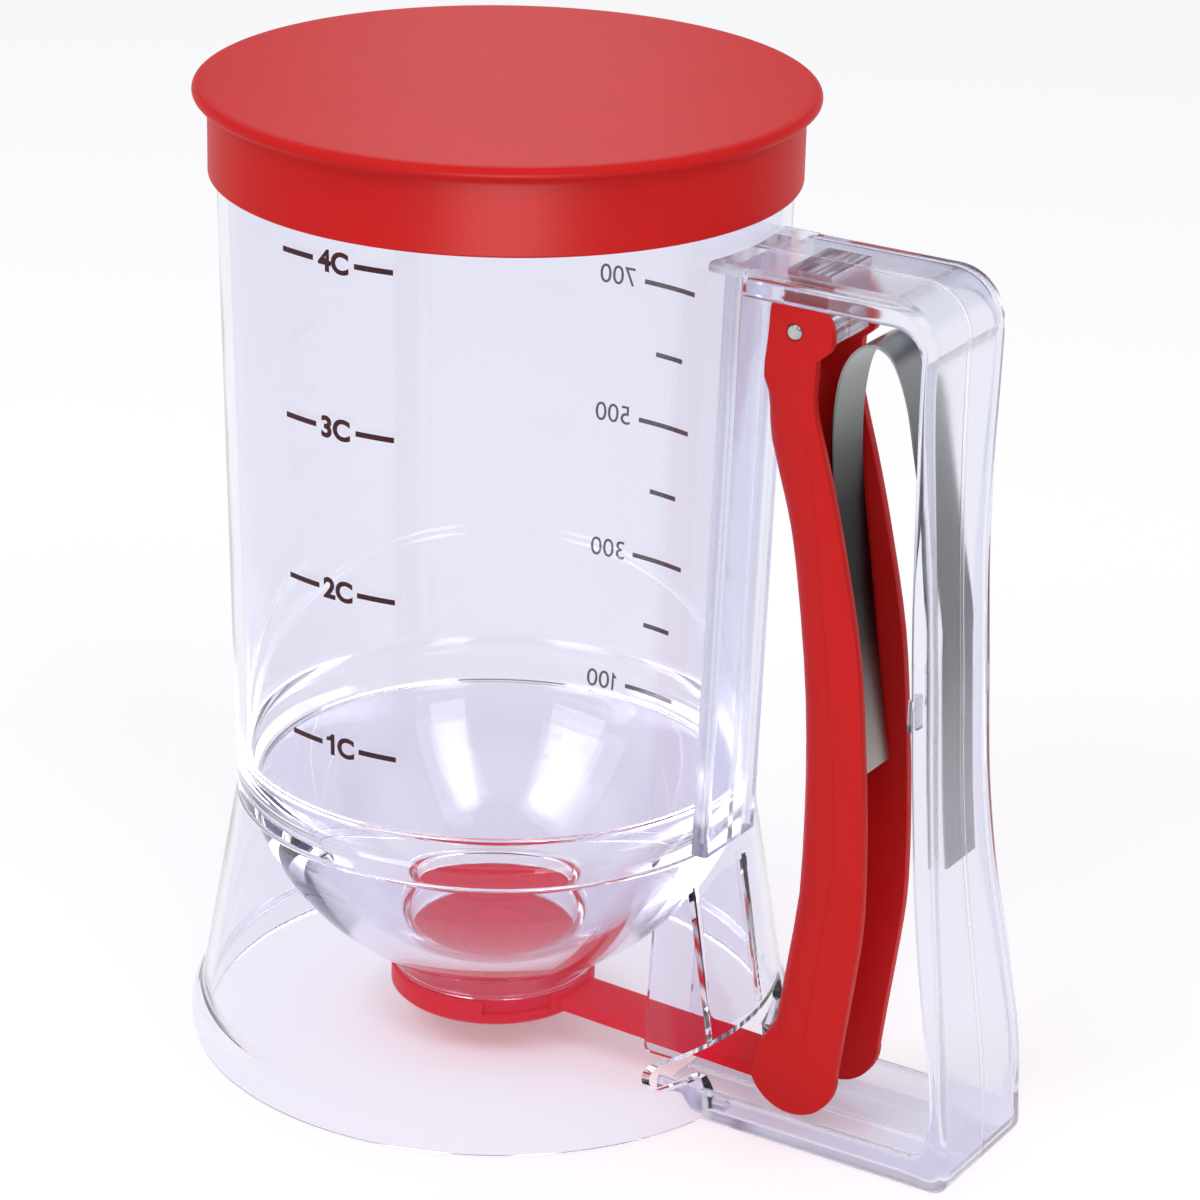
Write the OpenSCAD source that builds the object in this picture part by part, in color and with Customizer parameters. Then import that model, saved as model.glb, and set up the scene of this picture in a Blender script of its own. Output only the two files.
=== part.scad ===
// Hand-held batter dispenser: a clear measuring cup with a round valve under its bowl,
// opened by squeezing a red lever that hangs inside a clear loop handle.
// Millimetres. The cup's axis is Z, the rest plane is Z = 0 and the handle points to +X.

/* [Cup] */
// Height of the cup's rim above the table
cup_h = 184; // [165:1:200]
// Outer radius of the cup under the lid
cup_rim_r = 52.1; // [50.5:0.1:54]
// Outer radius of the cup where it meets the base
cup_seam_r = 49.2; // [47.5:0.1:49.4]
// Wall thickness of the cup
cup_wall = 2; // [1.6:0.1:2.4]
// Height of the straight rim that the lid slides over
rim_land = 16; // [14.5:0.5:20]
// Height of the bowl's centre above the base's top edge
bowl_rise = 10.4; // [10.2:0.2:13]
// Ledge between the cup's inner wall and the bowl
bowl_ledge = 1.25; // [0.8:0.05:1.6]

/* [Outlet] */
// Radius of the outlet's bore
outlet_r = 17; // [16.5:0.25:17.5]
// Wall thickness of the outlet's collar
outlet_wall = 2.5; // [2:0.1:2.6]
// How far the collar reaches below the bowl
collar_h = 3.7; // [3.2:0.1:3.9]

/* [Base] */
// Height of the base
base_h = 49.6; // [49.4:0.2:54]
// Outer radius that the base's cone has at the table
base_foot_r = 57.7; // [56:0.1:60]
// Wall thickness of the base
base_wall = 1.9; // [1.6:0.1:2]
// How far the foot band stands out from the cone
band_out = 0.7; // [0.4:0.1:1.2]
// Height of the foot band
band_h = 7.8; // [6:0.2:8]
// Height of the slot's top edge above the collar's lip
slot_room = 0.8; // [0.4:0.1:2.8]
// Half width of the slot that the valve passes through
slot_half_w = 24.5; // [21:0.5:27]
// Distance from the middle to each guide wall
guide_y = 8; // [7:0.25:9.5]
// Thickness of a guide wall
guide_wall = 1.4; // [1.2:0.1:1.8]
// How far the guide walls reach inwards from the base's seam radius
guide_depth = 9.6; // [7:0.1:10]

/* [Handle] */
// Distance from the lid's lower edge down to the handle's top
handle_drop = 4.6; // [3:0.2:8]
// Reach of the grip's top beyond the cup's seam radius
top_reach = 45.5; // [44:0.5:50]
// Reach of the grip's foot beyond the cup's seam radius
foot_reach = 57.5; // [54:0.5:62]
// Depth of the top arm
arm_depth = 5.2; // [4.6:0.1:5.6]
// Height of the bottom arm's side walls
tray_h = 6.5; // [5:0.5:6.5]
// Depth of the grip at its middle
grip_depth = 4.8; // [4.4:0.1:6]
// Wall thickness of the handle
handle_wall = 2; // [1.7:0.1:2.2]
// Half width of the handle at its top
handle_top_y = 13.4; // [12.8:0.1:15]
// Half width of the grip at its waist
handle_waist_y = 11.3; // [11.2:0.1:12.5]
// Half width of the handle at its foot
handle_foot_y = 15.3; // [14:0.1:16.5]
// How far the back of the handle stands off the cup
spine_out = 2.5; // [2:0.1:4]
// Half width of the back of the handle
spine_y = 9; // [7:0.25:10]
// Distance of the cheeks' ends beyond the cup's seam radius
cheek_end = 8.1; // [7.4:0.1:9]
// Outer corner radius at the top of the grip
shoulder_r = 9; // [7:0.5:11]

/* [Lever] */
// Distance of the pivot beyond the cup's seam radius
pivot_out = 16.2; // [15.5:0.2:17.5]
// Distance of the pivot below the handle's top
pivot_drop = 11.1; // [10.6:0.1:13]
// Radius of the lever's ears
ear_r = 5.4; // [4.8:0.1:5.8]
// Outside width of the lever
lever_w = 18.4; // [17.5:0.1:18.6]
// Wall thickness of the lever
lever_wall = 1.8; // [1.5:0.1:2.2]
// Radius of the lever's heel
heel_r = 9; // [8:0.1:9.2]
// Height of the lowest point of the heel above the table
heel_z = 3.8; // [3:0.1:5]
// Width of the valve arm
arm_w = 10.8; // [8:0.2:12]
// Thickness of the valve arm
arm_t = 2.6; // [2:0.1:2.8]
// Radius of the pivot pin
pin_r = 1.5; // [1.2:0.1:1.9]

/* [Valve] */
// Radius of the valve dish
dish_r = 19.75; // [18:0.25:20.25]
// Thickness of the valve dish's floor
dish_floor = 2.1; // [1.8:0.1:2.4]
// Thickness of the silicone seal
seal_t = 3; // [2.6:0.1:3.2]

/* [Spring] */
// Width of the leaf spring
spring_w = 11; // [8:0.5:12]
// Thickness of the leaf spring
spring_t = 0.5; // [0.4:0.05:0.6]

/* [Lid] */
// How far the lid's flange stands out past its skirt
lid_flange = 2.75; // [2.1:0.05:4]
// Thickness of the lid's top
lid_t = 2.3; // [1.8:0.1:3]
// Height of the lid's skirt below its top
lid_skirt = 14.1; // [10:0.1:14.1]
// Wall thickness of the lid's skirt
lid_wall = 1.3; // [1.1:0.1:1.6]

/* [Hidden] */
$fn = 96;

// Clearances
lid_clearance = 0.25;      // lid skirt over the cup's rim
bond_gap = 0.1;            // glue gap between the handle and the cup or base
press_gap = 0.02;          // pin in the handle's lugs
running_gap = 0.05;        // lever's ears on the pin
seal_gap = 0.15;           // seal inside the rim of its dish
seat_gap = 0.1;            // seal under the collar's lip
rim_drop = 0.3;            // dish's rim below the seal's top
rest_gap = 0.3;            // spring against what it bears on
side_gap = 0.2;            // lever's ears beside the handle's lugs
through = 1;               // how far a cutting shape passes a face
side_span = 40;            // width of a slab that spans the whole handle

// Heights and places that follow from the sizes above
bowl_z = base_h + bowl_rise;
bowl_in_r = cup_r(bowl_z) - cup_wall - bowl_ledge;
bowl_out_r = bowl_in_r + cup_wall;
collar_r = outlet_r + outlet_wall;
outlet_z = bowl_z - sqrt(pow(bowl_out_r, 2) - pow(collar_r, 2)) - collar_h;
slot_top = outlet_z + slot_room;
lid_low_z = cup_h - lid_skirt;
handle_z = lid_low_z - handle_drop;
pivot_x = cup_seam_r + pivot_out;
pivot_z = handle_z - pivot_drop;
ear_y = lever_w / 2 - lever_wall;              // inner face of an ear
lug_y = ear_y - side_gap;                      // outer face of a lug
finger_r = lever_w / 2 - 0.4;                  // nearly a half round finger side
face_x = cup_seam_r + cheek_end;
tray_floor = handle_wall;
tray_in_x = cup_seam_r - 4.7;                  // inner end of the bottom arm
tray_in_y = 11.9;                              // its half width inside the base
tray_in_h = 4.6;
seal_top = outlet_z - seat_gap;
dish_z = seal_top - seal_t - dish_floor;       // underside of the valve dish
dish_h = dish_floor + seal_t - rim_drop;
arm_z = dish_z - 0.4;                          // underside of the valve arm at the lever
heel_x = pivot_x + 5.9;
heel_mid_z = heel_z + heel_r;
keeper_z = 0.575 * handle_z;                   // tabs that trap the spring in the grip

function mix(a, b, t) = a + (b - a) * t;

// A smooth curve through points p, with n steps between neighbours
function curve_point(a, b, c, d, t) =
    0.5 * (2 * b + (c - a) * t + (2 * a - 5 * b + 4 * c - d) * t * t
           + (3 * b - a - 3 * c + d) * t * t * t);
function curve(p, n) = let (last = len(p) - 1) [
    for (i = [0 : last - 1], k = [0 : n - 1])
        curve_point(p[max(i - 1, 0)], p[i], p[i + 1], p[min(i + 2, last)], k / n),
    p[last]];
function arc(x, y, r, from, to, n) = [
    for (k = [0 : n]) [x, y] + r * [cos(mix(from, to, k / n)), sin(mix(from, to, k / n))]];
function backwards(p) = [for (i = [len(p) - 1 : -1 : 0]) p[i]];
function swapped(p) = [for (q = p) [q[1], q[0]]];

// Outer radius of the cup and of the base's cone at height z
function cup_r(z) = z > cup_h - rim_land
    ? cup_rim_r
    : mix(cup_seam_r, cup_rim_r, (z - base_h) / (cup_h - rim_land - base_h));
function cone_r(z) = mix(base_foot_r, cup_seam_r, z / base_h);

// Clear cup: tapered tube, round bowl and outlet collar in one moulding
module measuring_cup() {
    seam_in_r = cup_seam_r - base_wall;
    lip_soften = 0.4;
    color([0.86, 0.87, 0.93, 0.45]) rotate_extrude() polygon(concat(
        [[cup_rim_r - lip_soften, cup_h], [cup_rim_r, cup_h - lip_soften],
         [cup_rim_r, cup_h - rim_land], [cup_seam_r, base_h + lip_soften],
         [cup_seam_r - lip_soften, base_h]],
        arc(0, bowl_z, bowl_out_r, -acos(seam_in_r / bowl_out_r), -acos(collar_r / bowl_out_r), 28),
        [[collar_r, outlet_z + lip_soften], [collar_r - lip_soften, outlet_z],
         [outlet_r, outlet_z]],
        arc(0, bowl_z, bowl_in_r, -acos(outlet_r / bowl_in_r), 0, 32),
        [[cup_r(bowl_z) - cup_wall, bowl_z + bowl_ledge],
         [cup_rim_r - cup_wall, cup_h - rim_land],
         [cup_rim_r - cup_wall, cup_h - lip_soften],
         [cup_rim_r - cup_wall + lip_soften, cup_h]]));
}

// The cup's and the base's outside, grown by gap, that the handle is shaped to
module cup_envelope(gap) {
    rotate_extrude() polygon([
        [0, base_h - through], [cup_seam_r + gap, base_h - through],
        [cup_seam_r + gap, base_h], [cup_rim_r + gap, cup_h - rim_land],
        [cup_rim_r + gap, cup_h], [0, cup_h]]);
}

module base_envelope(gap) {
    rotate_extrude() polygon(concat([[0, -through]],
        [[base_foot_r + band_out + gap, -through]],
        [for (p = band_outline()) p + [gap, 0]],
        [[cup_seam_r + gap, base_h], [0, base_h]]));
}

// Foot band: from the table up to the cone
function band_outline() = let (out = base_foot_r + band_out) curve(
    [[out - 1.2, 0], [out - 0.3, 0.5], [out, 1.8], [out - 0.1, mix(0, band_h, 0.5)],
     [mix(out, cone_r(band_h), 0.5), mix(0, band_h, 0.88)], [cone_r(band_h), band_h]], 4);

// Clear base: flared ring with the valve slot and two guide walls
module base_skirt() {
    guide_in_x = cup_seam_r - guide_depth;
    guide_low = tray_in_h + 2.9;
    guide_corner = 1.5;
    color([0.88, 0.89, 0.95, 0.45]) {
        difference() {
            rotate_extrude() polygon(concat(
                band_outline(),
                [[cup_seam_r, base_h - 0.4], [cup_seam_r - 0.4, base_h],
                 [cup_seam_r - base_wall + 0.1, base_h],
                 [base_foot_r - base_wall, 0]]));
            valve_slot();
        }
        for (side = [-1, 1]) difference() {
            translate([0, side * (guide_y + guide_wall / 2), 0]) across(guide_wall)
                polygon(concat(
                    arc(guide_in_x + guide_corner, guide_low + guide_corner, guide_corner,
                        180, 270, 4),
                    [[guide_in_x + 7.5, guide_low], [base_foot_r, slot_top + 3.6],
                     [base_foot_r, base_h - 0.4], [guide_in_x, base_h - 0.4]]));
            translate([0, 0, bowl_z]) sphere(r = bowl_out_r + 0.3);
            base_outside();
        }
    }
}

// Everything outside the middle of the base's wall
module base_outside() {
    difference() {
        translate([0, 0, -through]) cylinder(r = base_foot_r + 10, h = base_h + 2 * through);
        rotate_extrude() polygon([[0, -2 * through], [cone_r(0) - base_wall / 2, -2 * through],
            [cone_r(0) - base_wall / 2, 0], [cup_seam_r - base_wall / 2, base_h],
            [0, base_h + 2 * through]]);
    }
}

// Wide slot for the valve, with the notch below it for the bottom arm
module valve_slot() {
    slot_low = band_h + 0.2;
    end_r = (slot_top - slot_low) / 2;
    end_y = slot_half_w - end_r;
    translate([0, 0, slot_low + end_r]) along_x(base_foot_r + 10)
        polygon(concat(arc(end_y, 0, end_r, -90, 90, 12), arc(-end_y, 0, end_r, 90, 270, 12)));
    translate([0, -tray_in_y - bond_gap, -through])
        cube([base_foot_r + 10, 2 * (tray_in_y + bond_gap), slot_top]);
}

// Handle outlines, seen from the side as [x, z]
grip_lean = [[0, 1], [0, 0.89], [0.03, 0.79], [0.1, 0.68], [0.2, 0.57], [0.3, 0.45],
             [0.45, 0.345], [0.68, 0.236], [0.92, 0.115], [1, 0]];
grip_top_x = cup_seam_r + top_reach;
grip_foot_x = cup_seam_r + foot_reach;
grip_line = curve([for (q = grip_lean)
    [mix(grip_top_x, grip_foot_x, q[0]), q[1] * handle_z]], 4);
grip_table = backwards(swapped(grip_line));
function grip_x(z) = lookup(z, grip_table);
// The grip is thinnest at its top and its foot
depth_share = [[0, 0.55], [0.13, 0.65], [0.24, 0.86], [0.35, 0.96], [0.57, 1], [0.68, 0.9],
               [0.79, 0.68], [0.9, 0.52], [1, 0.5]];
function grip_in_x(z) = grip_x(z) - grip_depth * lookup(z / handle_z, depth_share);
grip_low = tray_h / handle_z;
grip_high = (handle_z - arm_depth) / handle_z;
function spine_face(z) = cup_r(z) + spine_out;

function grip_outside(inset) = concat(
    arc(grip_top_x - shoulder_r, handle_z - shoulder_r, shoulder_r - inset, 90, 0, 10),
    [for (t = [0.9 : -0.05 : 0.02]) [grip_x(t * handle_z) - inset, t * handle_z]],
    arc(grip_foot_x - 3, 3, 3 - inset / 2, 0, -90, 5));

// Side view of the handle's cheeks, open towards the cup
module handle_side() {
    fillet = 6;
    in_top = handle_z - arm_depth;
    polygon(concat(
        [[cup_seam_r - 5, handle_z]],
        grip_outside(0),
        [[tray_in_x, 0], [tray_in_x, tray_in_h], [base_foot_r - 1, tray_in_h],
         [base_foot_r - 1, tray_h]],
        [for (t = [grip_low : 0.04 : grip_high - 0.05])
            [grip_in_x(t * handle_z) - 4 * exp(-(t - grip_low) * 45), t * handle_z]],
        arc(grip_in_x(0.9 * handle_z) - fillet, in_top - fillet, fillet, 0, 90, 6),
        [[face_x, in_top], [face_x, handle_z - handle_wall],
         [cup_seam_r - 5, handle_z - handle_wall]]));
}

// The space between the cheeks, seen from the side
module handle_inside() {
    polygon(concat(
        [[face_x, handle_z - handle_wall]],
        [for (p = grip_outside(handle_wall)) [p[0], max(p[1], tray_floor)]],
        [[tray_in_x + handle_wall, tray_floor]]));
}

// Front view: the handle narrows to a waist, as [y, z]
module handle_front(inset) {
    side = curve([[handle_foot_y, 0], [handle_foot_y, 0.12 * handle_z],
        [mix(handle_waist_y, handle_foot_y, 0.72), 0.236 * handle_z],
        [mix(handle_waist_y, handle_foot_y, 0.25), 0.345 * handle_z],
        [handle_waist_y, 0.45 * handle_z], [handle_waist_y, 0.67 * handle_z],
        [mix(handle_waist_y, handle_top_y, 0.45), 0.79 * handle_z],
        [handle_top_y, 0.9 * handle_z], [handle_top_y, handle_z + through]], 5);
    polygon(concat([for (p = side) [p[0] - inset, p[1]]],
        backwards([for (p = side) [inset - p[0], p[1]]])));
}

module across(w) { rotate([90, 0, 0]) translate([0, 0, -w / 2]) linear_extrude(w) children(); }
module along_x(l) { rotate([90, 0, 90]) linear_extrude(l) children(); }

// Channel-shaped frame of the handle: top arm, grip and bottom arm
module handle_frame() {
    difference() {
        intersection() {
            across(side_span) handle_side();
            along_x(grip_foot_x + 10) handle_front(0);
        }
        intersection() {
            across(side_span) handle_inside();
            along_x(grip_foot_x + 10) handle_front(handle_wall);
            union() {
                translate([base_foot_r + band_out, -side_span / 2, 0])
                    cube([side_span * 2, side_span, handle_z]);
                translate([0, -tray_in_y + handle_wall, 0])
                    cube([base_foot_r + 5, 2 * (tray_in_y - handle_wall), handle_z]);
                translate([0, -side_span / 2, handle_z / 2])
                    cube([base_foot_r + 5, side_span, handle_z / 2]);
            }
        }
        tray_flanks();
        base_ring_room();
    }
}

// Trims the bottom arm to its narrow end inside the base
module tray_flanks() {
    for (side = [-1, 1])
        translate([0, side * (tray_in_y + side_span / 2) - side_span / 2, -through])
            intersection() {
                cube([base_foot_r + 10, side_span, tray_h + 2 * through]);
                translate([0, -side * (tray_in_y + side_span / 2) + side_span / 2, through])
                    base_envelope(bond_gap);
            }
}

// The bottom arm's side walls stop at the outside of the base
module base_ring_room() {
    translate([0, 0, tray_in_h]) intersection() {
        translate([0, 0, -tray_in_h]) base_envelope(bond_gap);
        translate([0, -side_span / 2, 0]) cube([base_foot_r + 10, side_span, base_h]);
    }
}

// Back of the handle: a shallow channel standing on the cup
module handle_spine() {
    low = base_h + 0.6;
    high = handle_z - handle_wall + 0.1;
    wall = handle_wall - 0.2;
    face = [[spine_face(low), low], [spine_face(high), high]];
    back = [[cup_seam_r - 5, high], [cup_seam_r - 5, low]];
    difference() {
        across(2 * spine_y) polygon(concat(face, back));
        across(2 * (spine_y - wall)) polygon([
            [spine_face(low) - wall, low + wall], [spine_face(high) - wall, high + through],
            [cup_seam_r - 6, high + through], [cup_seam_r - 6, low + wall]]);
    }
}

// Lugs that carry the pivot pin, and tabs that trap the spring against the grip
module pivot_lugs() {
    corner = 1.2;
    low = pivot_z - pin_r - 1.5;
    high = handle_z - handle_wall / 2;
    across(2 * lug_y) polygon(concat(
        arc(pivot_x - pin_r - 1.4 + corner, low + corner, corner, 180, 270, 4),
        arc(pivot_x + ear_r + 0.3 - corner, low + corner, corner, 270, 360, 4),
        [[pivot_x + ear_r + 0.3, high], [pivot_x - pin_r - 1.4, high]]));
}

module spring_keepers() {
    tab_t = 1.3;
    tab_h = 6;
    tab_w = 5;
    tab_x = web_x(keeper_z - 0.5 * tab_h) - spring_t - 2 * rest_gap - tab_t;
    for (side = [-1, 1])
        translate([tab_x, side * (spring_w + tab_w - 1) / 2 - tab_w / 2, keeper_z - 1.5 * tab_h])
            cube([tab_t, tab_w, tab_h]);
}

function web_x(z) = grip_x(z) - handle_wall;

module handle_half(side) {
    difference() {
        union() {
            handle_frame();
            handle_spine();
            pivot_lugs();
            spring_keepers();
        }
        cup_envelope(bond_gap);
        translate([pivot_x, side_span / 2, pivot_z]) rotate([90, 0, 0])
            cylinder(r = pin_r + press_gap, h = side_span);
        translate([0, side > 0 ? -side_span : 0, -through])
            cube([grip_foot_x + 10, side_span, handle_z + 2 * through]);
    }
}

module handle_near_half() { color([0.84, 0.85, 0.93, 0.5]) handle_half(-1); }
module handle_far_half() { color([0.84, 0.85, 0.93, 0.5]) handle_half(1); }

// Push-on lid: a flat flange with a skirt that slips over the cup's rim
module lid() {
    skirt_in_r = cup_rim_r + lid_clearance;
    skirt_r = skirt_in_r + lid_wall;
    lid_r = skirt_r + lid_flange;
    dish = 0.4;
    edge_r = lid_t / 2;
    color([0.79, 0.16, 0.16]) rotate_extrude() polygon(concat(
        [[0, cup_h], [skirt_in_r, cup_h], [skirt_in_r, lid_low_z + 0.4],
         [skirt_in_r + 0.3, lid_low_z], [skirt_r - 0.3, lid_low_z], [skirt_r, lid_low_z + 0.4]],
        arc(skirt_r + 2, cup_h - 2, 2, 180, 90, 5),
        arc(lid_r - edge_r, cup_h + edge_r, edge_r, -90, 90, 8),
        [[lid_r - 4, cup_h + lid_t - 0.1], [0, cup_h + lid_t - dish]]));
}

// Lever outlines, as [distance from the pivot in x, share of the pivot's height]
front_shape = [[-5, 1.02], [-5.6, 0.97], [-6.5, 0.93], [-7, 0.86], [-2.9, 0.765],
               [-0.3, 0.669], [1.9, 0.548], [2.7, 0.422], [2.4, 0.293], [0.8, 0.221],
               [-1.1, 0.113], [-3.8, 0.075]];
rear_shape = [[4.9, 1.02], [4.5, 0.97], [4.3, 0.923], [5.3, 0.891], [8.2, 0.827],
              [11.4, 0.746], [15.3, 0.626], [17.3, 0.5], [18.3, 0.4], [18.6, 0.319],
              [18.1, 0.258], [15.8, 0.139], [14.8, 0.085]];
front_line = curve([for (q = front_shape) [pivot_x + q[0], q[1] * pivot_z]], 4);
rear_line = curve([for (q = rear_shape) [pivot_x + q[0], q[1] * pivot_z]], 4);
front_table = backwards(swapped(front_line));
rear_table = backwards(swapped(rear_line));
function front_x(z) = lookup(z, front_table);
function rear_x(z) = lookup(z, rear_table);

module lever_side() {
    ear_low_a = -31;
    neck = [for (p = front_line) if (p[1] < pivot_z - 1) p];
    back = [for (p = backwards(rear_line))
        if (p[1] < pivot_z - 0.6 * ear_r && p[1] > heel_mid_z) p];
    polygon(concat(
        neck,
        arc(heel_x, heel_mid_z, heel_r, 205, 357, 16),
        back,
        arc(pivot_x + 2, pivot_z, ear_r, ear_low_a, 90, 12),
        arc(pivot_x - 2.9, pivot_z + ear_r - 2, 2, 90, 180, 4)));
}

// The finger side is round between the heel and the ears, which are flat
round_share = [[0, 0.06], [0.105, 0.06], [0.125, 0.85], [0.2, 1], [0.84, 1], [0.89, 0.85],
               [0.915, 0.66], [0.93, 0.38], [0.942, 0.15], [0.95, 0.06], [1.1, 0.06]];
function corner_r(z) = finger_r * lookup(z / pivot_z, round_share);

// A tall form with round corners on the finger side, lofted up the lever
module lever_form(wall, low, high) {
    half = lever_w / 2 - wall;
    levels = concat([low], [for (t = [0.1 : 0.0125 : 0.19]) if (t * pivot_z > low) t * pivot_z],
        [for (t = [0.2 : 0.05 : 0.7]) t * pivot_z], [for (t = [0.72 : 0.02 : 1]) t * pivot_z],
        [high]);
    steps = len(levels) - 1;
    n = 18;
    points = [for (z = levels) let (r = max(corner_r(z) - wall, 0.2), x = front_x(z) + wall)
        for (p = concat(arc(x + r, -half + r, r, 180, 270, 7), [[100, -half], [100, half]],
                        arc(x + r, half - r, r, 90, 180, 7)))
            [p[0], p[1], z]];
    sides = [for (s = [0 : steps - 1], k = [0 : n - 1]) let (j = (k + 1) % n)
        each [[s * n + k, (s + 1) * n + k, (s + 1) * n + j],
              [s * n + k, (s + 1) * n + j, s * n + j]]];
    polyhedron(points, concat([[for (k = [0 : n - 1]) k]], sides,
        [[for (k = [n - 1 : -1 : 0]) steps * n + k]]));
}

// Red lever: finger channel, ears, valve arm and valve dish in one moulding
module trigger() {
    color([0.78, 0.13, 0.12]) {
        difference() {
            intersection() {
                across(side_span) lever_side();
                lever_form(0, 0, pivot_z + 8);
            }
            lever_form(lever_wall, -through, pivot_z + 9);
            translate([pivot_x, side_span / 2, pivot_z]) rotate([90, 0, 0])
                cylinder(r = pin_r + running_gap, h = side_span);
        }
        spring_seat();
        valve_arm();
    }
}

// Rib in the middle of the lever that the spring's free leg bears on
module spring_seat() {
    rib_h = 14;
    lean = 0.16;
    seat_x = spring_tip_x - spring_t / 2 - rest_gap;
    across(lever_wall) polygon([
        [front_x(spring_tip_z) + lever_wall / 2, spring_tip_z], [seat_x, spring_tip_z],
        [seat_x - lean * rib_h, spring_tip_z + rib_h],
        [front_x(spring_tip_z + rib_h) + lever_wall / 2, spring_tip_z + rib_h + 4]]);
}

module valve_arm() {
    in_wall_x = front_x(heel_mid_z) + lever_wall / 2;
    arm_end = heel_x - heel_r + 2 * lever_wall;
    dish_end = dish_r - dish_rim;
    across(arm_w) polygon([[dish_end, dish_z + 1.1], [arm_end, arm_z],
        [arm_end, arm_z + arm_t], [in_wall_x, heel_mid_z],
        [in_wall_x, arm_z + arm_t], [dish_end, dish_z + 1.1 + arm_t]]);
    difference() {
        translate([0, 0, dish_z]) rotate_extrude() polygon([
            [seal_boss_r + press_gap, 0], [dish_r - 0.8, 0], [dish_r, 0.8], [dish_r, dish_h],
            [dish_r - dish_rim, dish_h], [dish_r - dish_rim, dish_floor],
            [seal_boss_r + press_gap, dish_floor]]);
        rim_notch();
    }
}

// Notch in the dish's rim, for prising the seal out
module rim_notch() {
    translate([0, 0, dish_z + dish_floor]) linear_extrude(dish_h) polygon([
        [0.9 * dish_r * cos(63), -0.9 * dish_r * sin(63)],
        1.3 * dish_r * [cos(63), -sin(63)], 1.3 * dish_r * [cos(40), -sin(40)],
        1.3 * dish_r * [cos(22), -sin(22)], 0.9 * dish_r * [cos(22), -sin(22)],
        0.93 * dish_r * [cos(40), -sin(40)]]);
}

seal_boss_r = 3;
dish_rim = 1;

// Silicone seal: flat face with raised rings and a dimple, held by a boss in the dish
module valve_seal() {
    seal_r = dish_r - dish_rim - seal_gap;
    low = seal_top - seal_t;
    ring_r = 0.62 * outlet_r;
    color([0.85, 0.12, 0.2]) rotate_extrude() polygon([
        [0, dish_z + 0.3], [seal_boss_r, dish_z + 0.3], [seal_boss_r, low],
        [seal_r, low], [seal_r, seal_top - 0.4], [seal_r - 0.4, seal_top],
        [outlet_r - 2, seal_top], [outlet_r - 2.8, seal_top - 0.5],
        [ring_r + 1, seal_top - 0.5], [ring_r + 0.5, seal_top], [ring_r - 0.5, seal_top],
        [ring_r - 1, seal_top - 0.5], [6.4, seal_top - 0.5], [5.6, seal_top - 1.2],
        [0, seal_top - 1.4]]);
}

// Steel pin through the ears and the lugs
module pivot_pin() {
    length = lever_w + 0.6;
    soften = 0.35;
    color([0.75, 0.76, 0.78]) translate([pivot_x, length / 2, pivot_z]) rotate([90, 0, 0])
        rotate_extrude() polygon([[0, 0], [pin_r - soften, 0], [pin_r, soften],
            [pin_r, length - soften], [pin_r - soften, length], [0, length]]);
}

// Leaf spring: a hairpin with one leg in the lever and one along the grip
spring_tip_z = 0.47 * pivot_z;
spring_tip_x = pivot_x + 14.9;
spring_low_z = 0.36 * handle_z;
leg_top_x = pivot_x + 6.3;
leg_drop = 20;
leg_top_z = pivot_z - leg_drop;
grip_leg_x = web_x(leg_top_z) - 4.9;
arch_rise = 19;
function beside_web(z) = [web_x(z) - rest_gap - spring_t / 2, z];
spring_path = curve(concat(
    [[spring_tip_x, spring_tip_z],
     [mix(spring_tip_x, leg_top_x, 0.34), mix(spring_tip_z, leg_top_z, 0.3)],
     [mix(spring_tip_x, leg_top_x, 0.66), mix(spring_tip_z, leg_top_z, 0.6)],
     [mix(spring_tip_x, leg_top_x, 0.9), mix(spring_tip_z, leg_top_z, 0.82)],
     [leg_top_x, leg_top_z]],
    [for (q = [[0.02, 0.42], [0.1, 0.74], [0.27, 0.95], [0.48, 1], [0.69, 0.88], [0.87, 0.52]])
        [mix(leg_top_x, grip_leg_x, q[0]), leg_top_z + arch_rise * q[1]]],
    [[grip_leg_x, leg_top_z], [mix(grip_leg_x, web_x(keeper_z), 0.45), mix(leg_top_z,
      keeper_z, 0.4)], [mix(grip_leg_x, web_x(keeper_z), 0.82), mix(leg_top_z, keeper_z, 0.72)],
     beside_web(keeper_z + 3), beside_web(mix(keeper_z, spring_low_z, 0.33)),
     beside_web(mix(keeper_z, spring_low_z, 0.66)), beside_web(spring_low_z)]), 4);

module leaf_spring() {
    last = len(spring_path) - 1;
    rims = [for (i = [0 : last])
        let (way = spring_path[min(i + 1, last)] - spring_path[max(i - 1, 0)],
             out = [-way[1], way[0]] / norm(way) * spring_t / 2)
        [spring_path[i] + out, spring_path[i] - out]];
    color([0.6, 0.61, 0.62]) across(spring_w)
        polygon(concat([for (r = rims) r[0]], backwards([for (r = rims) r[1]])));
}

measuring_cup();
base_skirt();
handle_near_half();
handle_far_half();
lid();
trigger();
valve_seal();
pivot_pin();
leaf_spring();
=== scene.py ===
import math

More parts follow.
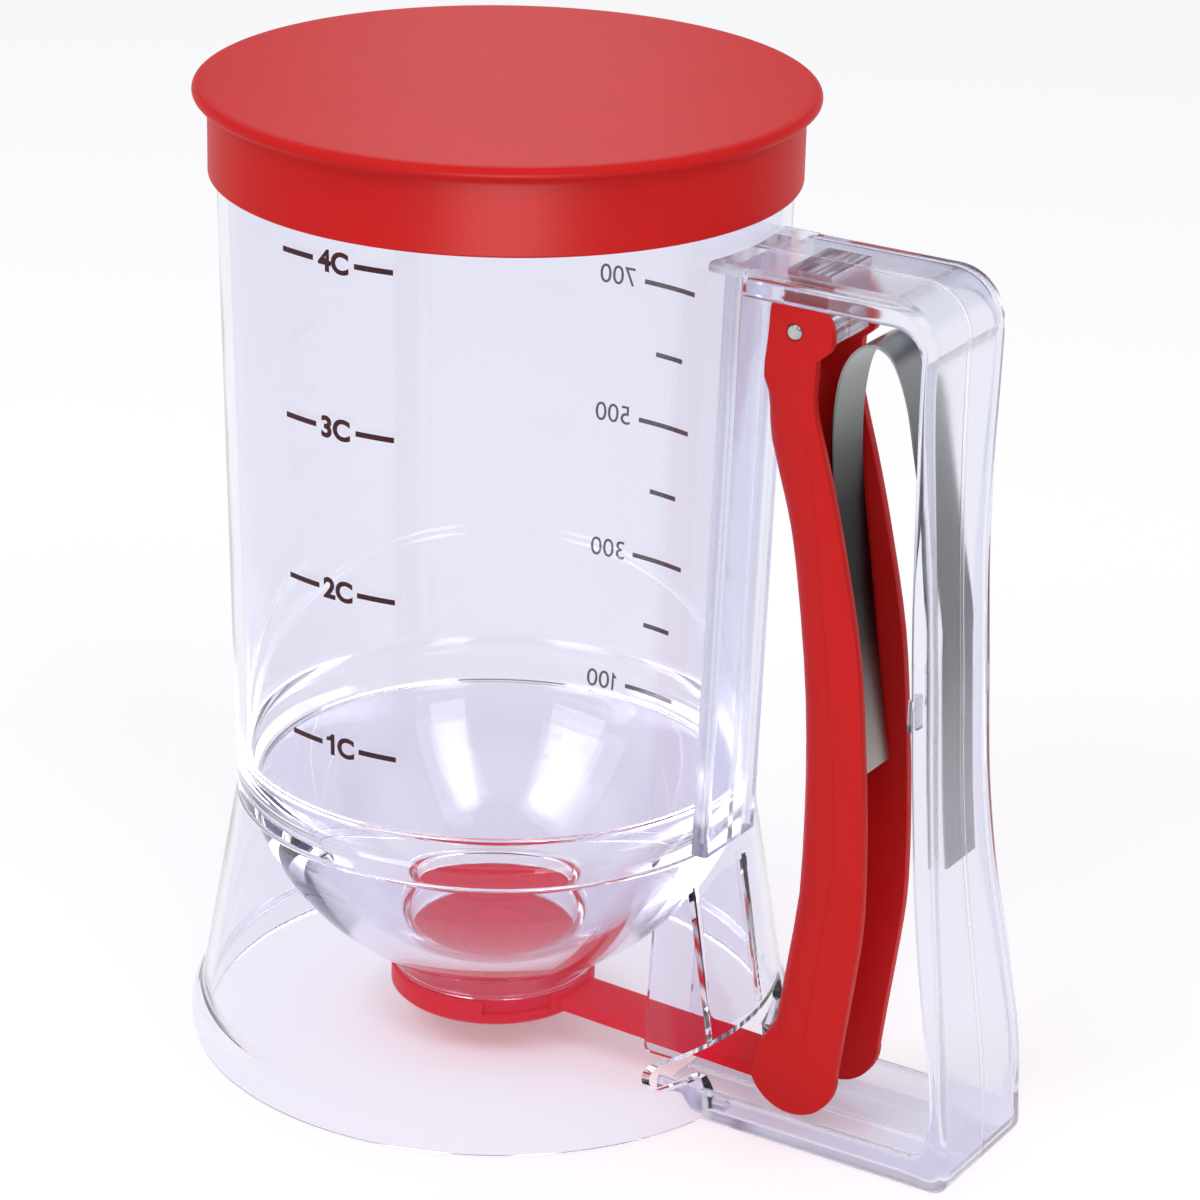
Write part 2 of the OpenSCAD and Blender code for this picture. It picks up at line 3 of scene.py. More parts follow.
import bmesh
import bpy
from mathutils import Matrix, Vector


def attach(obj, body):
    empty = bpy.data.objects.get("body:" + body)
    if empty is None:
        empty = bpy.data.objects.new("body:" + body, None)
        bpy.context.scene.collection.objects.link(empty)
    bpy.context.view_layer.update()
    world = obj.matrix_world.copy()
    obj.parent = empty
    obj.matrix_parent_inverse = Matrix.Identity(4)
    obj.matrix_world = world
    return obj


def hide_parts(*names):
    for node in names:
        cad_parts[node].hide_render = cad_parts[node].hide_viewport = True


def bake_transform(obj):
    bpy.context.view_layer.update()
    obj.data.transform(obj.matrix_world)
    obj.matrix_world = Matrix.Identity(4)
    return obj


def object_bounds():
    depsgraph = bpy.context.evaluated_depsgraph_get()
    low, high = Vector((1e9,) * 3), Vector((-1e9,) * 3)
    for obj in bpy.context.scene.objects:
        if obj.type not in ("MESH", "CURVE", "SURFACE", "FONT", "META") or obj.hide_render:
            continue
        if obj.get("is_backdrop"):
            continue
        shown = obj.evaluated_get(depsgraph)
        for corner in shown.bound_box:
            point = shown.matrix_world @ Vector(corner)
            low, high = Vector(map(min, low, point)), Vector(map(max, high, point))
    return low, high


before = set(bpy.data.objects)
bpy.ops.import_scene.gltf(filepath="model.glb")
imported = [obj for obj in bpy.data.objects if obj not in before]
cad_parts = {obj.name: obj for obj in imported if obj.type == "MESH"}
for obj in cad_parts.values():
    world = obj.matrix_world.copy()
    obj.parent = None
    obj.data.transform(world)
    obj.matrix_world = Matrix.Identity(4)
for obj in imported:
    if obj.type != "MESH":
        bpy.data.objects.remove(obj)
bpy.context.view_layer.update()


# Studio
# A white table in a soft white tent, with two soft boxes high in front. The tent's roof has
# a dark opening all round.

MM = 0.001


def srgb(code):
    """The linear colour of an sRGB hex value."""
    parts = [int(code[i : i + 2], 16) / 255 for i in (1, 3, 5)]
    linear = [c / 12.92 if c <= 0.04045 else ((c + 0.055) / 1.055) ** 2.4 for c in parts]
    return (*linear, 1.0)


def add(tree, kind, settings, **links):
    """Adds a node. Settings go to its colour stops, sockets or fields, and links to its
    sockets, named or as _0, _1 and so on."""
    node = tree.nodes.new("ShaderNode" + kind)
    for key, value in settings.items():
        if key == "stops":
            marks = node.color_ramp.elements
            for place, _ in value[2:]:
                marks.new(place)
            for mark, (place, code) in zip(marks, value):
                mark.position, mark.color = place, srgb(code)
        elif isinstance(key, int) or key in node.inputs:
            node.inputs[key].default_value = value
        else:
            setattr(node, key, value)
    for key, source in links.items():
        slot = int(key[1:]) if key[1:].isdigit() else key.replace("_", " ")
        tree.links.new(node.inputs[slot], source)
    return node


def material(name):
    """A new material with an empty node tree."""
    made = bpy.data.materials.new(name)
    made.use_nodes = True
    made.node_tree.nodes.clear()
    return made, made.node_tree


def mesh_piece(name, points, faces, finish):
    """A mesh object from points in metres."""
    mesh = bpy.data.meshes.new(name)
    mesh.from_pydata([tuple(p) for p in points], [], faces)
    mesh.validate()
    mesh.materials.append(finish)
    made = bpy.data.objects.new(name, mesh)
    bpy.context.collection.objects.link(made)
    return made


def looked_at(tree):
    """1 for a ray from the camera, also by gloss or through plastic, and 0 for light."""
    path = add(tree, "LightPath", {}).outputs
    seen = add(tree, "Math", {"operation": "MAXIMUM"}, _0=path["Is Camera Ray"],
               _1=path["Is Glossy Ray"])
    return add(tree, "Math", {"operation": "MAXIMUM"}, _0=seen.outputs[0],
               _1=path["Is Transmission Ray"]).outputs[0]


# A long lens 0.8 m away and a little above the lid
camera = bpy.data.objects.new("camera", bpy.data.cameras.new("camera"))
camera.location = (0.39684, -0.61696, 0.38286)
camera.rotation_euler = [math.radians(a) for a in (68.187, -0.863, 33.096)]
camera.data.sensor_width = 36
camera.data.lens = 126.65
camera.data.shift_x, camera.data.shift_y = 0.08395, -0.01253
camera.data.clip_start = 0.01
bpy.context.collection.objects.link(camera)

scene = bpy.context.scene
scene.camera = camera
scene.view_settings.view_transform = "Standard"
# A ray can cross a dozen walls of the clear mouldings before it leaves them
CROSSINGS = 32
scene.cycles.max_bounces = CROSSINGS
scene.cycles.glossy_bounces = CROSSINGS
scene.cycles.transmission_bounces = CROSSINGS
scene.cycles.transparent_max_bounces = CROSSINGS

TENT_LIGHT, OPENING_WIDER = 0.66, 0.3
ROOF_STOPS = [(0.5, "#FFFFFF"), (0.62, "#4A4470"), (0.8, "#4A4470"), (0.92, "#FFFFFF")]
world = bpy.data.worlds.new("light_tent")
world.use_nodes = True
world.node_tree.nodes.clear()
tree = world.node_tree
seen = looked_at(tree)
strength = add(tree, "MapRange", {"To Min": TENT_LIGHT, "To Max": 1.0}, Value=seen)
# The opening draws the edges of clear plastic, and is wider where it shows as a reflection
way = add(tree, "SeparateXYZ", {}, Vector=add(tree, "TexCoord", {}).outputs["Generated"])
height = add(tree, "Math", {"operation": "MULTIPLY_ADD", 1: OPENING_WIDER},
             _0=add(tree, "LightPath", {}).outputs["Is Glossy Ray"], _2=way.outputs["Z"])
roof = add(tree, "ValToRGB", {"stops": ROOF_STOPS}, Fac=height.outputs[0])
sky = add(tree, "Mix", {"data_type": "RGBA", 6: srgb("#FFFFFF")}, _0=seen, _7=roof.outputs[0])
tent = add(tree, "Background", {}, Color=sky.outputs[2], Strength=strength.outputs[0])
add(tree, "OutputWorld", {}, Surface=tent.outputs[0])
scene.world = world


def lamp(name, place, target, wide, high, watts):
    """A soft box at place that faces target."""
    light = bpy.data.lights.new(name, "AREA")
    light.shape, light.size, light.size_y, light.energy = "RECTANGLE", wide, high, watts
    made = bpy.data.objects.new(name, light)
    made.location = place
    made.rotation_euler = (Vector(target) - Vector(place)).to_track_quat("-Z", "Y").to_euler()
    bpy.context.collection.objects.link(made)
    return made


SOFT_BOX = 0.5
for name, place, watts in (("left_box", (-0.25, -0.75, 0.95), 2.6),
                           ("right_box", (0.65, -0.35, 0.95), 2.2)):
    lamp(name, place, (0, 0, 0.1), SOFT_BOX, SOFT_BOX, watts)

# White laminate, with a little light of its own that only the camera's rays find
TABLE_FILL, TABLE_REACH, TABLE_Z = 0.25, 4.0, -0.25 * MM
table_white, tree = material("white_table")
paint = add(tree, "BsdfDiffuse", {"Color": srgb("#F6F6F9")})
fill = add(tree, "Math", {"operation": "MULTIPLY", 1: TABLE_FILL}, _0=looked_at(tree))
glow = add(tree, "Emission", {"Color": srgb("#FFFFFF")}, Strength=fill.outputs[0])
both = add(tree, "AddShader", {}, _0=paint.outputs[0], _1=glow.outputs[0])
add(tree, "OutputMaterial", {}, Surface=both.outputs[0])
table = mesh_piece("table", [(x * TABLE_REACH, y * TABLE_REACH, TABLE_Z)
                             for x, y in ((-1, -1), (1, -1), (1, 1), (-1, 1))],
                   [(0, 1, 2, 3)], table_white)
table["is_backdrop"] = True


# Measuring cup
# Clear acrylic, injection moulded in one shot with a polished mould: a tapered
# tube, a round bowl set inside it and the collar that the batter leaves by.

RIM_R, RIM_LOW, RIM_TOP, MOUTH_R = 52.1, 168.0, 184.0, 50.1
TUBE_R, TUBE_LOW = 49.2, 49.6
SEAT_Z, SEAT_IN = 49.68, 47.3
BOWL_Z, BOWL_OUT = 60.0, 48.2
COLLAR_IN, COLLAR_OUT, COLLAR_TOP, LIP_Z = 17.0, 19.5, 16.6, 12.2
# The wall thickens towards the collar, so its inside is a part of an ellipse
IN_Z, IN_R, IN_DEPTH, IN_TOP, IN_STEPS = 66.0, 47.1, 51.0, 58.5, 60
# Flow of the melt leaves waves in the polished faces
FLOW_WAVE = 20.0


def clear_plastic(name, face_on, oblique, grazing, roughness, mirror="#E0E0E0"):
    """Clear moulding: faint lavender face on, and darker violet where it is seen edge on."""
    made, tree = material(name)
    facing = add(tree, "LayerWeight", {"Blend": 0.3}).outputs["Facing"]
    tint = add(tree, "ValToRGB", {"stops": [(0.0, face_on), (0.7, oblique), (1.0, grazing)]},
               Fac=facing)
    place = add(tree, "TexCoord", {}).outputs["Object"]
    waves = add(tree, "TexNoise", {"Scale": 1 / (FLOW_WAVE * MM), "Detail": 1.0}, Vector=place)
    flow = add(tree, "Bump", {"Strength": 0.1, "Distance": 0.15 * MM},
               Height=waves.outputs["Fac"])
    glass = add(tree, "BsdfPrincipled", {"Transmission Weight": 1.0, "IOR": 1.49,
                "Roughness": roughness, "Specular Tint": srgb(mirror)},
                Base_Color=tint.outputs[0], Normal=flow.outputs[0])
    # Lamps and bounced light pass straight through the thin walls
    path = add(tree, "LightPath", {}).outputs
    passing = add(tree, "Math", {"operation": "MAXIMUM"}, _0=path["Is Shadow Ray"],
                  _1=path["Is Diffuse Ray"])
    open_way = add(tree, "BsdfTransparent", {"Color": srgb("#FAFAFD")})
    both = add(tree, "MixShader", {}, Fac=passing.outputs[0], _1=glass.outputs[0],
               _2=open_way.outputs[0])
    add(tree, "OutputMaterial", {}, Surface=both.outputs[0])
    return made


def rounded(corners, steps=4):
    """Outline through corners (x, y, radius), each turned into a small arc."""
    out = []
    for i, (x, y, r) in enumerate(corners):
        here = Vector((x, y))
        if not r:
            out.append(here)
            continue
        before = Vector(corners[i - 1][:2]) - here
        after = Vector(corners[(i + 1) % len(corners)][:2]) - here
        half = before.angle(after) / 2
        reach = min(r / math.tan(half), 0.45 * before.length, 0.45 * after.length)
        a, b = here + before.normalized() * reach, here + after.normalized() * reach
        middle = here + (before.normalized() + after.normalized()).normalized() * (
            reach / math.cos(half))
        start = (a - middle).angle_signed(Vector((1, 0)))
        turn = (a - middle).angle_signed(b - middle)
        radius = (a - middle).length
        # A close point beyond each end keeps the flat faces flat
        out.append(a + before.normalized() * min(0.15, 0.25 * (0.5 * before.length - reach)))
        out += [middle + radius * Vector((math.cos(start - turn * k / steps),
                                          math.sin(start - turn * k / steps)))
                for k in range(steps + 1)]
        out.append(b + after.normalized() * min(0.15, 0.25 * (0.5 * after.length - reach)))
    return out


def arc(x, y, r, start, end, steps):
    """Points (x, y, 0) of an arc, with its angles in degrees."""
    angles = [math.radians(start + (end - start) * k / steps) for k in range(steps + 1)]
    return [(x + r * math.cos(a), y + r * math.sin(a), 0) for a in angles]


def closed_piece(name, points, faces, finish):
    """A mesh object whose faces all look outwards."""
    made = mesh_piece(name, points, faces, finish)
    work = bmesh.new()
    work.from_mesh(made.data)
    bmesh.ops.recalc_face_normals(work, faces=work.faces)
    work.to_mesh(made.data)
    work.free()
    return made


def lathe(name, outline, finish, around=256):
    """Turns a closed outline of (radius, height) in millimetres about the Z axis."""
    points, faces, rings = [], [], []
    for p in outline:
        r, z = p[0], p[1]
        if r < 1e-6:
            rings.append([len(points)] * around)
            points.append((0, 0, z * MM))
            continue
        rings.append(list(range(len(points), len(points) + around)))
        points += [(r * MM * math.cos(2 * math.pi * k / around),
                    r * MM * math.sin(2 * math.pi * k / around), z * MM) for k in range(around)]
    for i, low in enumerate(rings):
        high = rings[(i + 1) % len(rings)]
        if low[0] == low[1] and high[0] == high[1]:
            continue
        for k in range(around):
            j = (k + 1) % around
            corners = []
            for v in (low[k], low[j], high[j], high[k]):
                if v not in corners:
                    corners.append(v)
            faces.append(corners)
    made = closed_piece(name, points, faces, finish)
    made.data.shade_smooth()
    return made


def dress(piece, slot, body, *nodes):
    """Puts a piece under its body and hides the nodes that it stands for; slot is not used."""
    if body:
        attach(piece, body)
    if nodes:
        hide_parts(*nodes)


clear = clear_plastic("acrylic_clear_moulded", "#F2F2F9", "#EAEAF5", "#9A90CA", 0.0)
low_turn, high_turn = math.acos(COLLAR_IN / IN_R), math.asin((IN_Z - IN_TOP) / IN_DEPTH)
bowl_inside = []
for k in range(IN_STEPS + 1):
    turn = low_turn * (1 - k / IN_STEPS) + high_turn * k / IN_STEPS
    bowl_inside.append((IN_R * math.cos(turn), IN_Z - IN_DEPTH * math.sin(turn), 0))
bowl_inside[0] = (*bowl_inside[0][:2], 0.6)
cup = lathe("cup_clear", rounded([
    (RIM_R, RIM_TOP, 0.8), (RIM_R, RIM_LOW, 0), (TUBE_R, SEAT_Z, 0.5), (SEAT_IN, SEAT_Z, 0.25),
    *arc(0, BOWL_Z, BOWL_OUT, -13, -64, 40),
    (COLLAR_OUT, COLLAR_TOP, 0.8), (COLLAR_OUT, LIP_Z, 0.6), (COLLAR_IN, LIP_Z, 0.6),
    *bowl_inside,
    (47.38, IN_TOP + 1, 0.6), (47.4, 60.5, 0), (47.57, 67, 0),
    (MOUTH_R, RIM_LOW, 0), (MOUTH_R, RIM_TOP, 0.8)]), clear)
dress(cup, "clear_plastic", "dispenser", "measuring_cup")


# Volume marks
# Screen printed on the outside of the cup in one dark maroon ink: cups on the near side,
# millilitres on the far side.

# A print screen has a thread every 0.3 mm; its marks are drawn a little coarser, so they show
SCREEN_MESH = 0.4
INK_FILM, INK_LIFT, DASH_R = 0.03, 0.04, 50.6
CUP_ZERO, CUP_STEP, CUP_DASHES, CUP_AZ = 43.45, 30.5, ((-104.7, -96.3), (-86.9, -78.4)), -91.6
ML_ZERO, ML_STEP, ML_LONG, ML_SHORT, ML_AZ = 37.75, 14.02, (75.4, 89.9), (78.4, 86.0), 96.6

ink, tree = material("screen_ink_maroon")
place = add(tree, "TexCoord", {}).outputs["Object"]
mesh_marks = add(tree, "TexNoise", {"Scale": 1 / (SCREEN_MESH * MM), "Detail": 2.0},
                 Vector=place).outputs["Fac"]
tone = add(tree, "ValToRGB", {"stops": [(0.3, "#33060F"), (0.75, "#4A1420")]}, Fac=mesh_marks)
print_bump = add(tree, "Bump", {"Strength": 0.3, "Distance": 0.02 * MM}, Height=mesh_marks)
paint = add(tree, "BsdfPrincipled", {"Roughness": 0.5, "Specular IOR Level": 0.3},
            Base_Color=tone.outputs[0], Normal=print_bump.outputs[0])
add(tree, "OutputMaterial", {}, Surface=paint.outputs[0])


def cup_radius(z):
    """Outer radius of the cup, in millimetres."""
    if z > RIM_LOW:
        return RIM_R
    return TUBE_R + (z - TUBE_LOW) * (RIM_R - TUBE_R) / (RIM_LOW - TUBE_LOW)


def wrapped(work, azimuth, height):
    """Bends flat work, drawn in millimetres, round the cup at a height and an azimuth."""
    widest = max(abs(v.co.x) for v in work.verts)
    for k in range(-int(widest), int(widest) + 1):
        bmesh.ops.bisect_plane(work, geom=work.verts[:] + work.edges[:] + work.faces[:],
                               plane_co=(k, 0, 0), plane_no=(1, 0, 0))
    for v in work.verts:
        z = height + v.co.y
        r = cup_radius(z) + INK_LIFT
        turn = math.radians(azimuth) + v.co.x / r
        v.co = Vector((r * math.cos(turn), r * math.sin(turn), z)) * MM


def figures(text, size, weight):
    """Flat lettering in millimetres, centred on the origin; weight thickens its strokes."""
    curve = bpy.data.curves.new("figures", "FONT")
    curve.body, curve.size, curve.offset = text.lstrip("1"), size, weight
    holder = bpy.data.objects.new("figures", curve)
    bpy.context.collection.objects.link(holder)
    mesh = bpy.data.meshes.new_from_object(
        holder.evaluated_get(bpy.context.evaluated_depsgraph_get()))
    bpy.data.objects.remove(holder)
    bpy.data.curves.remove(curve)
    work = bmesh.new()
    work.from_mesh(mesh)
    left, right = (f(v.co.x for v in work.verts) for f in (min, max))
    low, high = (f(v.co.y for v in work.verts) for f in (min, max))
    if text[0] == "1":
        # The built-in 1 has no flag, so it is drawn here
        h, w = high - low, 0.09 * size + 2 * weight
        stem = left - 0.12 * size - w
        one = [(stem, 0), (stem + w, 0), (stem + w, h), (stem + 0.3 * w, h),
               (stem - 0.3 * w, 0.85 * h), (stem - 1.1 * w, 0.8 * h),
               (stem - 1.1 * w, 0.8 * h - 0.8 * w), (stem, 0.8 * h - 0.6 * w)]
        work.faces.new([work.verts.new((x, low + y, 0)) for x, y in one])
        left = stem - 1.1 * w
    for v in work.verts:
        v.co -= Vector(((left + right) / 2, (low + high) / 2, 0))
    work.to_mesh(mesh)
    work.free()
    return mesh


def dash(span, height, thick):
    """A mark: a flat bar from one azimuth to another, with their middle and its height."""
    start, end = span
    half = math.radians(end - start) / 2 * DASH_R
    mesh = bpy.data.meshes.new("dash")
    mesh.from_pydata([(-half, -thick / 2, 0), (half, -thick / 2, 0), (half, thick / 2, 0),
                      (-half, thick / 2, 0)], [], [(0, 1, 2, 3)])
    return mesh, (start + end) / 2, height


def printed(name, marks):
    """One print from flat meshes, each with the azimuth and height of its middle."""
    whole = bmesh.new()
    for mesh, azimuth, height in marks:
        work = bmesh.new()
        work.from_mesh(mesh)
        wrapped(work, azimuth, height)
        part = bpy.data.meshes.new("part")
        work.to_mesh(part)
        work.free()
        whole.from_mesh(part)
    made = mesh_piece(name, [], [], ink)
    whole.to_mesh(made.data)
    whole.free()
    film = made.modifiers.new("film", "SOLIDIFY")
    film.thickness, film.offset = INK_FILM * MM, 0
    dress(made, "trigger_plastic", "dispenser")


cup_marks = []
for count in range(1, 5):
    z = CUP_ZERO + CUP_STEP * count
    cup_marks += [dash(span, z, 1.0) for span in CUP_DASHES]
    cup_marks.append((figures("%dC" % count, 5.3, 0.2), CUP_AZ, z))
printed("marks_cups", cup_marks)
millilitre_marks = []
for count in range(1, 8):
    z = ML_ZERO + ML_STEP * count
    if count % 2:
        millilitre_marks += [dash(ML_LONG, z, 0.95),
                             (figures("%d00" % count, 5.4, 0.0), ML_AZ, z + 0.3)]
    else:
        millilitre_marks.append(dash(ML_SHORT, z, 0.95))
printed("marks_millilitres", millilitre_marks)


# Base
# The same clear plastic: a flared ring with a rolled foot, bonded to the cup. It has a wide
# slot for the valve and two guide walls for its arm.

BASE_TOP, SEAM_R = 49.55, 49.2
SLOT_LOW, SLOT_TOP, SLOT_HALF, NOTCH_HALF = 8.0, 13.0, 24.5, 12.0
GUIDE_Y, GUIDE_WALL, GUIDE_R = 8.0, 1.4, 49.0

clear_base = clear_plastic("acrylic_clear_base", "#F5F4FA", "#ECEAF6", "#9A90CA", 0.03,
                           "#8C8C8C")
# Up the outside from the foot, over the seam and down the inside
base = lathe("base_clear", rounded([
    (57.0, 0, 0.4), (58.1, 0.5, 0), (58.38, 1.8, 0), (58.32, 3.9, 0), (58.0, 5.6, 0),
    (57.3, 6.9, 0), (56.6, 7.8, 0), (56.25, 8.8, 0), (56.0, 10.0, 0), (55.83, 11.0, 0),
    (52.56, 30, 0), (SEAM_R, BASE_TOP, 0.5), (47.4, BASE_TOP, 0.3), (50.71, 30, 0),
    (54.95, 5, 0), (55.8, 0, 0.3)]), clear_base)


def prism(name, outline, start, end, finish, axis="Y"):
    """A slab along an axis from an outline in millimetres: (x, z) along Y, (y, z) along X."""
    points = []
    for at in (start, end):
        for p in outline:
            spot = (p[0], at, p[1]) if axis == "Y" else (at, p[0], p[1])
            points.append(tuple(c * MM for c in spot))
    n = len(outline)
    faces = [tuple(range(n)), tuple(range(2 * n - 1, n - 1, -1))]
    faces += [(k, n + k, n + (k + 1) % n, (k + 1) % n) for k in range(n)]
    return closed_piece(name, points, faces, finish)


def shaped(piece, tool, operation):
    """Cuts or joins piece with tool, which is used up."""
    step = piece.modifiers.new("shape", "BOOLEAN")
    step.operation, step.object, step.solver = operation, tool, "EXACT"
    mesh = bpy.data.meshes.new_from_object(
        piece.evaluated_get(bpy.context.evaluated_depsgraph_get()))
    piece.modifiers.clear()
    old, piece.data = piece.data, mesh
    bpy.data.meshes.remove(old)
    bpy.data.objects.remove(tool)


end_r, slot_mid = (SLOT_TOP - SLOT_LOW) / 2, (SLOT_TOP + SLOT_LOW) / 2
slot_outline = (arc(SLOT_HALF - end_r, slot_mid, end_r, 90, -90, 10)
                + [(NOTCH_HALF, SLOT_LOW), (NOTCH_HALF, -1), (-NOTCH_HALF, -1),
                   (-NOTCH_HALF, SLOT_LOW)]
                + arc(end_r - SLOT_HALF, slot_mid, end_r, 270, 90, 10))
shaped(base, prism("slot", slot_outline, 20, 70, clear_base, "X"), "DIFFERENCE")
guide_outline = rounded([
    (39.6, 7.5, 1.5), (47.1, 7.5, 0), (54.5, 14.2, 0), (49.7, 44.2, 0), (43.1, 37.6, 0),
    *arc(0, BOWL_Z, GUIDE_R, -28, -34, 3)])
for side in (-1, 1):
    shaped(base, prism("guide", guide_outline, side * GUIDE_Y, side * (GUIDE_Y + GUIDE_WALL),
                       clear_base), "UNION")
base.data.shade_smooth()
base.data.set_sharp_from_angle(angle=math.radians(35))
dress(base, "clear_plastic", "dispenser", "base_skirt")


# Handle halves
# Two clear mouldings, left and right, glued to each other and to the cup and base. Each is a
# web along the grip's outer line with a cheek beside it, a plate that stands on the cup, half
# of the lug for the pin and a tab for the spring.

WALL, BOND = 2.0, 0.05
HANDLE_Z, ARM_LOW, FACE_X = 165.3, 160.1, 57.3
TOP_X, FOOT_X, GRIP_DEPTH = 94.7, 106.7, 4.8
SHOULDER_OUT, SHOULDER_IN, FOOT_TURN, FOOT_IN_Z = 9.0, 6.0, 3.0, 9.5
FLANGE_Y, TRAY_Y, SPINE_Y, SPINE_OUT, SPINE_X = 13.4, 11.85, 9.0, 2.5, 44
PIVOT_X, PIVOT_Z, HOLE_R, LUG_Y, LUG_TOP = 65.4, 154.2, 1.53, 7.2, 164.3
TAB_LOW, TAB_TOP, TAB_THICK, TAB_IN, TAB_OUT = 86, 92, 1.3, 5.2, 9.9
# Parts that are joined start a hair apart, so that no two of their faces lie in one plane
HAIR = 0.013


def through(points, at):
    """The value at a place on a smooth line through points (place, value)."""
    i = max(k for k in range(len(points) - 1) if points[k][0] <= at or k == 0)
    row = [points[min(max(k, 0), len(points) - 1)][1] for k in (i - 1, i, i + 1, i + 2)]
    t = (at - points[i][0]) / (points[i + 1][0] - points[i][0])
    a, b, c, d = row
    return 0.5 * (2 * b + (c - a) * t + (2 * a - 5 * b + 4 * c - d) * t * t
                  + (3 * b - a - 3 * c + d) * t ** 3)


def grip_x(z):
    """Outer line of the grip, which leans out towards its foot."""
    lean = [(0, 1), (0.115, 0.92), (0.236, 0.68), (0.345, 0.45), (0.45, 0.3), (0.57, 0.2),
            (0.68, 0.1), (0.79, 0.03), (0.89, 0), (1.0, 0)]
    return TOP_X + (FOOT_X - TOP_X) * through(lean, z / HANDLE_Z)


def grip_in_x(z):
    """Inner line of the grip: it is thinnest at its top and foot, and flares at the foot."""
    share = [(0, 0.55), (0.13, 0.65), (0.24, 0.86), (0.35, 0.96), (0.57, 1), (0.68, 0.9),
             (0.79, 0.68), (0.9, 0.52), (1, 0.5)]
    t = z / HANDLE_Z
    flare = 4 * math.exp(-(t - 0.0393) * 45)
    return grip_x(z) - GRIP_DEPTH * through(share, t) - flare


def half_width(z):
    """Distance from the middle plane to the cheek's outer face."""
    waist = [(0, 15.3), (0.12, 15.3), (0.236, 14.18), (0.345, 12.3), (0.45, 11.3),
             (0.67, 11.3), (0.79, 12.25), (0.9, 13.4), (1.01, 13.4)]
    return through(waist, min(max(z / HANDLE_Z, 0), 1))


def channel_section(outer, inner, width, corner):
    """Half of the channel's section, from the outer line to the cheek's inner edge. The
    width is a number, or a function of the height."""
    outer, inner = Vector(outer), Vector(inner)
    depth = (inner - outer).length
    way = (inner - outer) / depth
    w = width(outer[1]) if callable(width) else width
    end_r = min(0.85, 0.4 * (depth - WALL))
    flat = rounded([(BOND, 0, 0.12), (w, 0, corner), (w, depth, end_r),
                    (w - WALL, depth, end_r), (w - WALL, WALL, end_r), (BOND, WALL, 0.12)], 5)
    ring = []
    for y, n in flat:
        spot = outer + way * n
        lean = (width(spot[1]) - w) if callable(width) else 0
        share = min(max((y - 1) / (w - WALL - 1), 0), 1)
        ring.append((spot[0], y + lean * share, spot[1]))
    return ring


def loft(name, rings, finish):
    """A closed form through rings of points in millimetres."""
    n = len(rings[0])
    points = [tuple(c * MM for c in p) for ring in rings for p in ring]
    faces = [(i * n + k, i * n + (k + 1) % n, (i + 1) * n + (k + 1) % n, (i + 1) * n + k)
             for i in range(len(rings) - 1) for k in range(n)]
    faces += [tuple(range(n)), tuple(len(points) - 1 - k for k in range(n))]
    return closed_piece(name, points, faces, finish)


def between(low, high, count):
    """Evenly spaced values from low to high, both included."""
    return [low + (high - low) * k / count for k in range(count + 1)]


def pairs(outer, inner):
    """Points (x, z) of two arcs side by side."""
    return [(o[:2], i[:2]) for o, i in zip(outer, inner)]


def mirrored(rings, side):
    """The rings of one half, moved to its side of the middle plane."""
    return [[(x, side * y, z) for x, y, z in ring] for ring in rings]


# Along the arm, round the shoulder, down the grip, round its foot and back to the base
arm_end, foot_in = grip_in_x(0.9 * HANDLE_Z) - SHOULDER_IN, grip_in_x(FOOT_IN_Z) - FOOT_TURN
path = [((x, HANDLE_Z), (x, ARM_LOW)) for x in between(FACE_X, arm_end, 6)]
path += pairs(arc(TOP_X - SHOULDER_OUT, HANDLE_Z - SHOULDER_OUT, SHOULDER_OUT, 86, 4, 14),
              arc(arm_end, ARM_LOW - SHOULDER_IN, SHOULDER_IN, 86, 4, 14))
path += [((grip_x(z), z), (grip_in_x(z), z)) for z in between(ARM_LOW - SHOULDER_IN, 10, 60)]
path += pairs(arc(FOOT_X - FOOT_TURN, FOOT_TURN, FOOT_TURN, 0, -90, 8),
              arc(foot_in, FOOT_IN_Z, FOOT_TURN, 0, -90, 8))
path += [((x, 0), (x, FOOT_IN_Z - FOOT_TURN)) for x in between(foot_in - 2, 52, 8)]
frame_rings = [channel_section(o, i, half_width, 1.6) for o, i in path]
flange_rings = [[(x, y, HANDLE_Z - HAIR - n) for y, n in rounded([
    (BOND + HAIR, 0, 0.12), (FLANGE_Y - HAIR, 0, 1.2), (FLANGE_Y - HAIR, WALL, 0.6),
    (BOND + HAIR, WALL, 0.12)], 5)] for x in (44.2, 52, 57.6)]
tray_rings = [[(x, y + 3 * HAIR, z) for x, y, z in channel_section(
    (at, 0.02), (at, 4.6), TRAY_Y, 0.8)] for at in (44.5, 50, 59.6)]
spine_rings = []
for z in (50.2, 90, 130, 164):
    face = cup_radius(z) + SPINE_OUT
    spine_rings.append([(x, y, z) for x, y in rounded([
        (SPINE_X, BOND + 2 * HAIR, 0), (face, BOND + 2 * HAIR, 0.12), (face, SPINE_Y, 0.9),
        (SPINE_X, SPINE_Y, 0)], 5)])
lug_outline = rounded([(62.5, 151.2, 1.2), (71.1, 151.2, 1.2), (71.1, LUG_TOP, 0),
                       (62.5, LUG_TOP, 0)])
tab_x = grip_x(89) - 5.9
tab_outline = [(tab_x, TAB_LOW), (tab_x + TAB_THICK, TAB_LOW), (tab_x + TAB_THICK, TAB_TOP),
               (tab_x, TAB_TOP)]
hole_outline = arc(PIVOT_X, PIVOT_Z, HOLE_R, 0, 345, 23)
